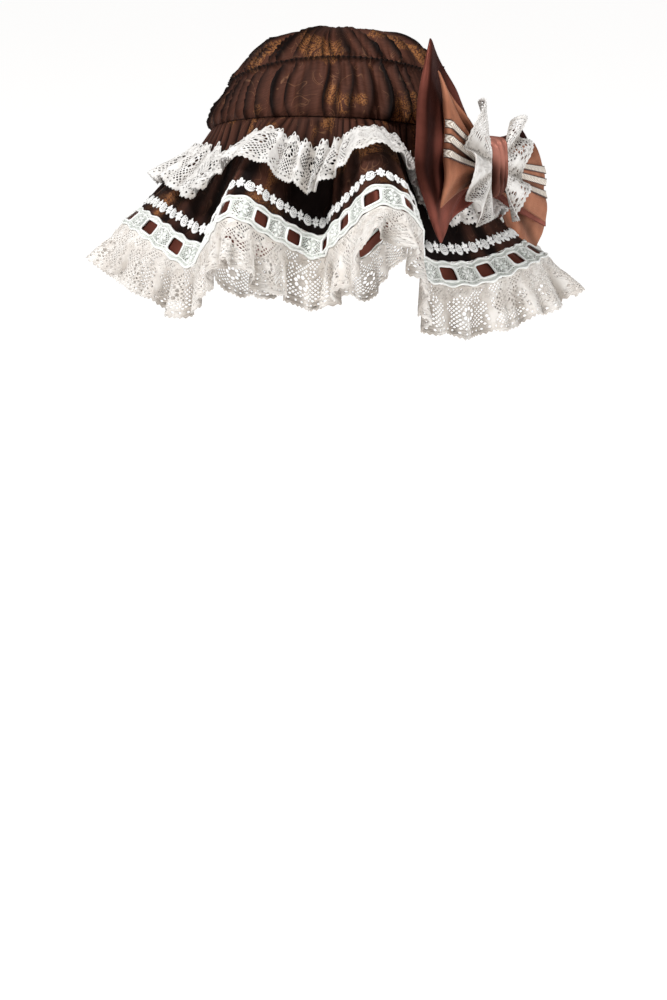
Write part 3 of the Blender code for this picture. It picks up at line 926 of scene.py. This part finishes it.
def ruffle_tile(width, height, rosettes, net_pitch, arches=0, openness=0.27):
    """One scallop of lace: its cutwork, and its raised flowers and cords."""
    half = width / 2

    def edge(x):
        return height - SCALLOP - 0.9 + SCALLOP * (1 - abs(2 * x / width) ** 2.2)

    bottom = []
    for k in range(2 * PICOTS + 1):
        x = -half + width * k / (2 * PICOTS)
        bottom.append((x, edge(x) + (PICOT if k % 2 else 0.0)))
    steps = 4 * max(arches, 2)
    top = []
    for k in range(steps + 1):
        x = half - width * k / steps
        arch = abs(sin(pi * max(arches, 2) * (x + half) / width)) ** 0.8
        top.append((x, (2.3 if arches else 0.4) * (1 - arch)))
    holes = []
    figures = [(across * half, down * height, radius + 1.4) for across, down, radius in FLOWERS]
    for across, down, radius, size, count in rosettes:
        middle = (across * half, down * height)
        around = [ring_points(*eyelet, size, 6) for eyelet in ring_points(*middle, radius, count, 0.2)]
        holes += [hole for hole in around if all(abs(x) < half - 0.2 for x, y in hole)]
        figures.append((*middle, radius + 1.9))
    holes += [ring_points(-half + width * (k + 0.5) / arches, 2.0, 1.1, 7) for k in range(arches)]

    def inside(x, y):
        return (4.2 if arches else 2.4) < y < edge(x) - BORDER

    for k in range(BORDER_EYELETS):
        x = -half + width * (k + 0.5) / BORDER_EYELETS
        holes.append(ring_points(x, edge(x) - 2.7, 0.78, 5))

    holes += net_holes(width, net_pitch, openness * net_pitch, figures, inside)
    bm = flat_loops([bottom + top] + holes, LACE_MM)
    open_sides(bm, width)
    raised = bmesh.new()
    for across, down, radius in FLOWERS:
        flower(raised, across * half, down * height, radius)
    for across, down, radius, *_ in rosettes:
        if across == 0:
            cord(raised, ring_points(0, down * height, radius * 0.5, 8, z=0.25), 0.38, closed=True)
            cord(raised, ring_points(0, down * height, radius * 1.5, 14, z=0.2), 0.34, closed=True)
    cord(raised, [(x, y - BORDER + 0.8, 0.2) for x, y in bottom[::2]], 0.42)
    cord(raised, [(x, y - 1.1, 0.15) for x, y in bottom[::2]], 0.42)
    return bm, raised


def flower(bm, x, y, radius):
    """A small raised flower of padded petals."""
    for k in range(PETALS):
        angle = tau * k / PETALS + 0.3
        middle = (x + radius * 0.58 * cos(angle), y + radius * 0.58 * sin(angle), 0.25)
        leaf(bm, middle, angle, radius * 0.95, radius * 0.55, 0.45, 5, 3)


def hem_waves(x, down):
    """The hem lace's own gathers grow towards its free edge."""
    turn = x / RUN
    free = np.clip((down - BRIM_WIDTH) / HEM_WIDTH, 0, 1)
    waves = sways(turn, (38, 57, 71), 21)
    small = sways(turn, (97, 131), 22)
    return (0.004 * waves + 0.0012 * small) * ease(free, 0, 1.0)


def build_hem_lace():
    def place(x, y, off):
        down = BRIM_WIDTH - 0.001 + y
        return brim_place(x, down, off - 0.0004 + hem_waves(x, down))

    # Painted shade: darker in the lace's own waves and in the brim's deep valleys.
    def shade(x, y):
        down = BRIM_WIDTH + y
        return 0.72 + hem_waves(x, down) / 0.006 - 0.45 * in_valley(x, down)

    tile = ruffle_tile(TILE_WIDTH, HEM_WIDTH / MM + 1.0, HEM_ROSETTES, 2.7, openness=0.32)
    net, threads = lace_strip(
        "hem_lace_ruffle", tile, TILE_WIDTH, SLOTS, place, shade, HEM_LACE, "hem_lace"
    )


# The lace stands off along the brim's direction averaged over this stretch, so that it bridges valleys.
LACE_LEVELLING = (-0.052, -0.034, -0.017, 0.0, 0.017, 0.034, 0.052)


def upper_ruffle(x, share):
    """How far the upper lace stands up in its own gathers."""
    return 0.003 * (1 + sways(x / RUN, (43, 52, 71), 31)) * (0.45 + 0.55 * share)


def build_upper_lace():
    def place(x, y, off):
        down = UPPER_LACE_START + y
        share = np.clip(y / UPPER_LACE_WIDTH, 0, 1)
        turn = x / RUN
        stand = hang_at(x)[:, 8] * ease(share, 0.0, 1.0)
        ruffle = upper_ruffle(x, share)
        down = down + 0.0022 * sways(turn, (38, 57, 66), 33) * (1 - share)
        level = unit(sum(normals_of(brim_middle, x + shift, down) for shift in LACE_LEVELLING))
        near = sum(brim_middle(x + shift, down) for shift in LACE_LEVELLING) / len(LACE_LEVELLING)
        bridge = np.sum((near - brim_middle(x, down)) * level, axis=1) * ease(share, 0.1, 0.9)
        lifted = level * (stand + np.maximum(ruffle, 0) + np.maximum(bridge, 0))[:, None]
        return brim_place(x, down, off + 0.0012) + lifted

    # Painted shade: darker where the ruffle sinks and over the brim's deep valleys.
    def shade(x, y):
        return 0.22 + upper_ruffle(x, 1.0) / 0.0048 - 0.25 * in_valley(x, UPPER_LACE_START + y)

    tile = ruffle_tile(TILE_WIDTH, UPPER_LACE_WIDTH / MM, UPPER_ROSETTES, 2.8, ARCHES, 0.33)
    net, threads = lace_strip(
        "upper_lace_ruffle", tile, TILE_WIDTH, SLOTS, place, shade, WHITE_LACE, "upper_lace"
    )


def build_beading():
    """Net with cord edges, thick frames round the slots and flowers between them."""
    width = PITCH / MM
    height = BEADING_WIDTH / MM
    window = (width * SLOT_SHARE + 1.2, RIBBON_WIDTH / MM + 0.6)
    half = width / 2

    def top_wave(x):
        return 0.75 - 0.75 * cos(tau * 2 * x / width)

    steps = 20
    across = [-half + width * k / steps for k in range(steps + 1)]
    outline = [(x, top_wave(x)) for x in across] + [(x, height - top_wave(x)) for x in reversed(across)]
    frame_points = rounded_window(window[0] + 0.9, window[1] + 0.9, 2.6, height / 2)
    figures = [(half, height / 2, 3.0), (half, height * 0.28, 1.6), (half, height * 0.72, 1.6)]

    def inside(x, y):
        if abs(x) < window[0] / 2 + 2.2 and abs(y - height / 2) < window[1] / 2 + 1.9:
            return False
        return top_wave(x) + 1.9 < y < height - top_wave(x) - 1.9

    holes = [rounded_window(window[0], window[1], 2.2, height / 2)]
    holes += net_holes(width, 1.9, 0.58, figures, inside)
    bm = flat_loops([outline] + holes, BEADING_MM)
    open_sides(bm, width)
    raised = bmesh.new()
    cord(raised, [(x, y, 0.45) for x, y in frame_points], 0.85, closed=True, resolution=1)
    for lift, radius in ((0.3, 0.75), (3.0, 0.5)):
        cord(raised, [(x, top_wave(x) + lift, 0.25) for x in across], radius)
        cord(raised, [(x, height - top_wave(x) - lift, 0.25) for x in across], radius)
    for k in range(4):
        angle = pi / 4 + k * pi / 2
        leaf(raised, (half + 2.3 * cos(angle), height / 2 + 2.3 * sin(angle), 0.35), angle, 4.2, 1.9, 0.6)
    for side in (-1, 1):
        leaf(raised, (half, height / 2 + side * 4.4, 0.35), pi / 2, 3.0, 1.7, 0.55)
        leaf(raised, (half + side * 3.4, height / 2, 0.3), 0, 2.4, 1.5, 0.5)

    def place(x, y, off):
        return brim_place(x, BEADING_TOP + y, off + 0.0003)

    net, threads = lace_strip(
        "slotted_lace", (bm, raised), width, SLOTS, place, open_to_light, BEADING_NET, "beading_lace",
        thread=BEADING_LACE, start=SLOT_SHARE / 2
    )


def rounded_window(width, height, radius, middle):
    """A slot's outline, with round corners."""
    points = []
    for k in range(20):
        angle = tau * (k + 0.5) / 20
        x = copysign(width / 2 - radius, cos(angle))
        y = copysign(height / 2 - radius, sin(angle))
        points.append((x + radius * cos(angle), middle + y + radius * sin(angle)))
    return points


def build_ribbon():
    mesh = cloth_grid(RUN / MM, RIBBON_FULL / MM, RIBBON_GRID)
    top = BEADING_TOP + (BEADING_WIDTH - RIBBON_FULL) / 2

    def place(x, y, off):
        into = (x / PITCH) % 1.0
        swell = np.where(into < SLOT_SHARE, np.sin(pi * np.clip(into / SLOT_SHARE, 0, 1)), 0)
        ripples = 0.00012 * np.sin(x / 0.0016) * swell
        return brim_place(x, top + y, off - 0.0009 + 0.001 * swell + ripples)

    # Painted shade towards the ribbon's two edges, a painted highlight along its middle.
    drape(mesh, place, lambda x, y: 0.75 + 0.25 * np.sin(pi * y / RIBBON_FULL))
    made = piece("satin_ribbon", mesh, RIBBON_SATIN, "threaded_ribbon", RIBBON_WALL, weld=WELD)


ROSES = 88
# The leaves between two roses: direction, distance from their middle, length and width
ROSE_LEAVES = (
    (-95, 2.2, 3.9, 2.5), (-40, 1.9, 3.2, 2.1), (40, 1.8, 3.0, 1.9),
    (95, 2.0, 3.6, 2.3), (150, 1.8, 3.0, 1.9), (-150, 1.9, 3.2, 2.1),
)
STEM_OVERLAP = 0.06


def build_rose_trim():
    """Little spiral roses with a star of leaves between them, on a thin stem."""
    width = RUN / MM / ROSES
    half = width / 2
    middle = TRIM_WIDTH / MM / 2
    bm = bmesh.new()
    spiral = []
    for k in range(33):
        share = k / 32
        angle = tau * 2.6 * share + 0.6
        radius = 0.35 + 2.85 * share
        spiral.append((radius * cos(angle), middle + radius * sin(angle), 0.95 - 0.55 * share))
    cord(bm, spiral, 0.43)
    crescent = [(3.5 * cos(a), middle + 3.5 * sin(a), 0.3) for a in [0.3 + 2.8 * k / 9 for k in range(10)]]
    cord(bm, crescent, 0.55, taper=lambda share: 0.35 + sin(pi * share))
    for degrees, reach, length, wide in ROSE_LEAVES:
        angle = radians(degrees)
        leaf(bm, (half + reach * cos(angle), middle + reach * sin(angle), 0.4), angle, length, wide, 0.5)
    stem = [((half + STEM_OVERLAP) * (k / 5 - 1), middle + 0.5 * sin(tau * k / 10), 0.2) for k in range(11)]
    cord(bm, stem, 0.35)
    strip = repeat(bm, width, ROSES, width / 2, merge=False)
    top = BEADING_TOP - TRIM_ABOVE_BEADING - TRIM_WIDTH

    def place(x, y, off):
        return brim_place(x, top + y, off + 0.0005)

    piece("rose_trim", edit(drape(strip, place, open_to_light), turn_out), ROSE_LACE, "floral_trim")


def loop_height(loop, share):
    """Half the loop's height at a share of its length."""
    return loop.waist + (loop.half_height - loop.waist) * share ** loop.spread


def build_loop(name, loop):
    """A satin loop; the copper ones carry braids."""
    length = 2 * loop.length
    mesh = cloth_grid(length / MM, 2 * loop.half_height / MM, LOOP_GRID, -loop.half_height / MM)

    def place(x, y, off):
        return loop_surface(loop, x / length, y / loop.half_height)

    # painted shade and painted shadow on the satin loop
    drape(mesh, place, lambda x, y: loop_painted_shade(loop, x / length, y / loop.half_height))
    material, slot = (COPPER_SATIN, "copper") if "copper" in name else (DARK_SATIN, "satin")
    made = piece(name + "_satin", mesh, material, name, SATIN_WALL)


def build_braid(name, index):
    """A braid over a copper loop; its three braids draw together at the knot."""
    loop = LOOPS[name]
    length = loop.length - KNOT_WIDTH / 2 + 0.4 * loop.gap
    middle = (index - 2) * BRAID_PITCH
    mesh = cloth_grid(length / MM, BRAID_WIDTH / MM, BRAID_GRID, -BRAID_WIDTH / MM / 2)

    def place(x, y, off):
        total = 2 * (loop.length - loop.gap / 2 - KNOT_WIDTH / 2) + pi * loop.gap / 2
        share = np.clip((x + KNOT_WIDTH / 2) / loop.length, 0, 1)
        across = (middle + y) * (BRAID_DRAW + (1 - BRAID_DRAW) * share) / loop_height(loop, share)
        return loop_surface(loop, np.clip(x, 0, length) / total, across, off + 0.0012)

    drape(mesh, place)
    label = name.replace("copper", "braid")
    return piece(f"{label}_strip_{index}", mesh, BRAID, f"{label}_{index}", BRAID_WALL)


def build_fan(name, fan):
    """The gathered lace on one side of the knot."""
    run = FAN_TILE_WIDTH * fan.tiles * MM
    depth = max(fan.length, FAN_TILE_DEPTH)

    def place(x, y, off):
        turn = x / run
        share = y / depth
        angle = np.radians(fan.bottom_degrees + (fan.top_degrees - fan.bottom_degrees) * turn)
        angle = angle + 0.1 * share * np.sin(tau * FAN_LOBES * turn + 1.2)
        ruffle = 0.0042 * (0.3 + np.cos(tau * FAN_LOBES * turn)) * share
        reach = fan.length * share * (fan.low_share + (1 - fan.low_share) * turn)
        reach = reach * (1 - 0.2 * np.abs(2 * turn - 1) ** 6)
        along_by = KNOT_WIDTH / 2 - 0.001 + reach * np.cos(angle)
        up_by = (FAN_ROOT + reach) * np.sin(angle)
        return bow_place(fan.side * along_by, fan.layer + off + ruffle + fan.flare * share, up_by)

    # Painted shade between the lace's lobes, full light on them.
    def shade(x, y):
        return 0.6 + 0.55 * np.cos(tau * FAN_LOBES * x / run)

    tile = ruffle_tile(FAN_TILE_WIDTH, depth / MM, FAN_ROSETTES, 3.4, openness=0.35)
    net, threads = lace_strip(
        name + "_ruffle", tile, FAN_TILE_WIDTH, fan.tiles, place, shade, WHITE_LACE, name, ring=False
    )


def build_knot():
    """The wrap of satin: a rounded cube, pinched and creased."""
    bm = bmesh.new()
    bmesh.ops.create_cube(bm, size=2.0)
    bmesh.ops.subdivide_edges(bm, edges=bm.edges[:], cuts=KNOT_CUTS, use_grid_fill=True)
    mesh = finish_mesh(bm, "knot")
    flat = coordinates(mesh)
    round_box = flat / (np.sum(np.abs(flat) ** KNOT_POWER, axis=1) ** (1 / KNOT_POWER))[:, None]
    out_by = (round_box[:, 0] + 1) * KNOT_DEPTH / 2
    along_by = round_box[:, 1] * KNOT_WIDTH / 2
    up_by = round_box[:, 2] * KNOT_HEIGHT / 2
    pinch = 1 - 0.16 * (1 - np.abs(round_box[:, 2]) ** 2)
    creases = 0.001 * np.cos(along_by * 900 + up_by * 90) + 0.0005 * np.cos(along_by * 1700 - up_by * 110)
    outer = np.clip(round_box[:, 0], 0, 1)
    set_uv(mesh, np.stack((along_by, up_by), axis=1))
    mesh.vertices.foreach_set("co", bow_place(along_by * pinch, out_by + creases * outer, up_by).ravel())
    # Painted light on the knot's upper side, painted shade on its lower side and in its creases.
    lit = ease(up_by + 0.5 * along_by, -0.25 * KNOT_HEIGHT, 0.3 * KNOT_HEIGHT)
    write_painted_shade(mesh, 0.2 + 0.7 * lit + creases * 150)
    piece("knot_wrap", mesh, KNOT_SATIN, "bow_knot")


def build_tail():
    length = float(np.linalg.norm(TAIL_END - TAIL_START))
    mesh = cloth_grid(length / MM, 2 * TAIL_HALF / MM, TAIL_GRID, -TAIL_HALF / MM)
    cross = np.array((TAIL_START[1] - TAIL_END[1], TAIL_END[0] - TAIL_START[0])) / length

    def place(x, y, off):
        share = (x / length)[:, None]
        spread = 0.35 + 0.65 * share
        point = TAIL_START + (TAIL_END - TAIL_START) * share + cross * y[:, None] * spread
        fold = 0.0012 * np.cos(y / TAIL_HALF * 5 + x * 30) * (1 - 0.5 * share[:, 0])
        return bow_place(point[:, 0], TAIL_LAYER + fold, point[:, 1])

    # Painted shade in the tail's fold valleys, lighter on their ridges.
    drape(mesh, place, lambda x, y: 0.7 + 0.3 * np.cos(y / TAIL_HALF * 5 + x * 30))
    made = piece("tail_satin", mesh, COPPER_SATIN, "bow_tail_copper", SATIN_WALL)


CAMERA_PLACE = (-0.0029453, -1.23100627, 0.21705962)
CAMERA_PITCH = radians(20.957)
FRAME_HEIGHT = 36.0
LENS = 67.5
FLOOR_DROP = 0.6
FLOOR_SIZE = 12.0
FLOOR_GLOW = 0.78
SKY_LIGHT = 0.2
LIT_MIDDLE = Vector((0, 0, -0.02))
# Each light's name, place, size and energy
LAMPS = (("key", (-0.8, -0.85, 1.45), 0.4, 33.0), ("fill", (1.2, -1.2, 0.9), 0.7, 14.0))


def build_studio():
    """The camera, the pale floor, and plain soft light."""
    scene = bpy.context.scene
    lens = bpy.data.cameras.new("camera")
    lens.sensor_fit = "VERTICAL"
    lens.sensor_height = FRAME_HEIGHT
    lens.sensor_width = FRAME_HEIGHT
    lens.lens = LENS
    scene.camera = link_object("camera", lens)
    scene.camera.location = CAMERA_PLACE
    scene.camera.rotation_euler = (pi / 2 - CAMERA_PITCH, 0, 0)

    bm = bmesh.new()
    below = Matrix.Translation((0, 0, -FLOOR_DROP))
    bmesh.ops.create_grid(bm, x_segments=8, y_segments=8, size=FLOOR_SIZE, matrix=below)
    floor = link_object("studio_floor", finish_mesh(bm, "studio_floor"))
    new = new_material("pale floor", (0.94, 0.935, 0.93), 0.9)
    new.set("Emission Color", (1, 0.995, 0.99))
    new.set("Emission Strength", FLOOR_GLOW)
    floor.data.materials.append(new.material)

    world = bpy.data.worlds.new("studio")
    world.use_nodes = True
    new = Nodes(world.node_tree)
    sky = world.node_tree.nodes["Background"].inputs
    new.give(sky["Color"], (1.0, 0.99, 0.98))
    seen = new.times(new.add("LightPath"), 1.0 - SKY_LIGHT)
    new.give(sky["Strength"], new.plus(seen, SKY_LIGHT))
    scene.world = world
    for name, place, size, energy in LAMPS:
        data = bpy.data.lights.new(name, "AREA")
        data.shape = "SQUARE"
        data.size = size
        data.energy = energy
        light = link_object(name, data)
        light.location = place
        light.rotation_euler = (LIT_MIDDLE - Vector(place)).to_track_quat("-Z", "Y").to_euler()
    scene.view_settings.view_transform = "Standard"


build_studio()
build_crown()
build_brim()
build_upper_lace()
build_rose_trim()
build_beading()
build_ribbon()
build_hem_lace()
braids = {name: [build_braid(name, index) for index in (1, 2, 3)] for name in LOOPS if "copper" in name}
for name, loop in LOOPS.items():
    build_loop(name, loop)
for name, fan in FANS.items():
    build_fan(name, fan)
build_knot()
build_tail()
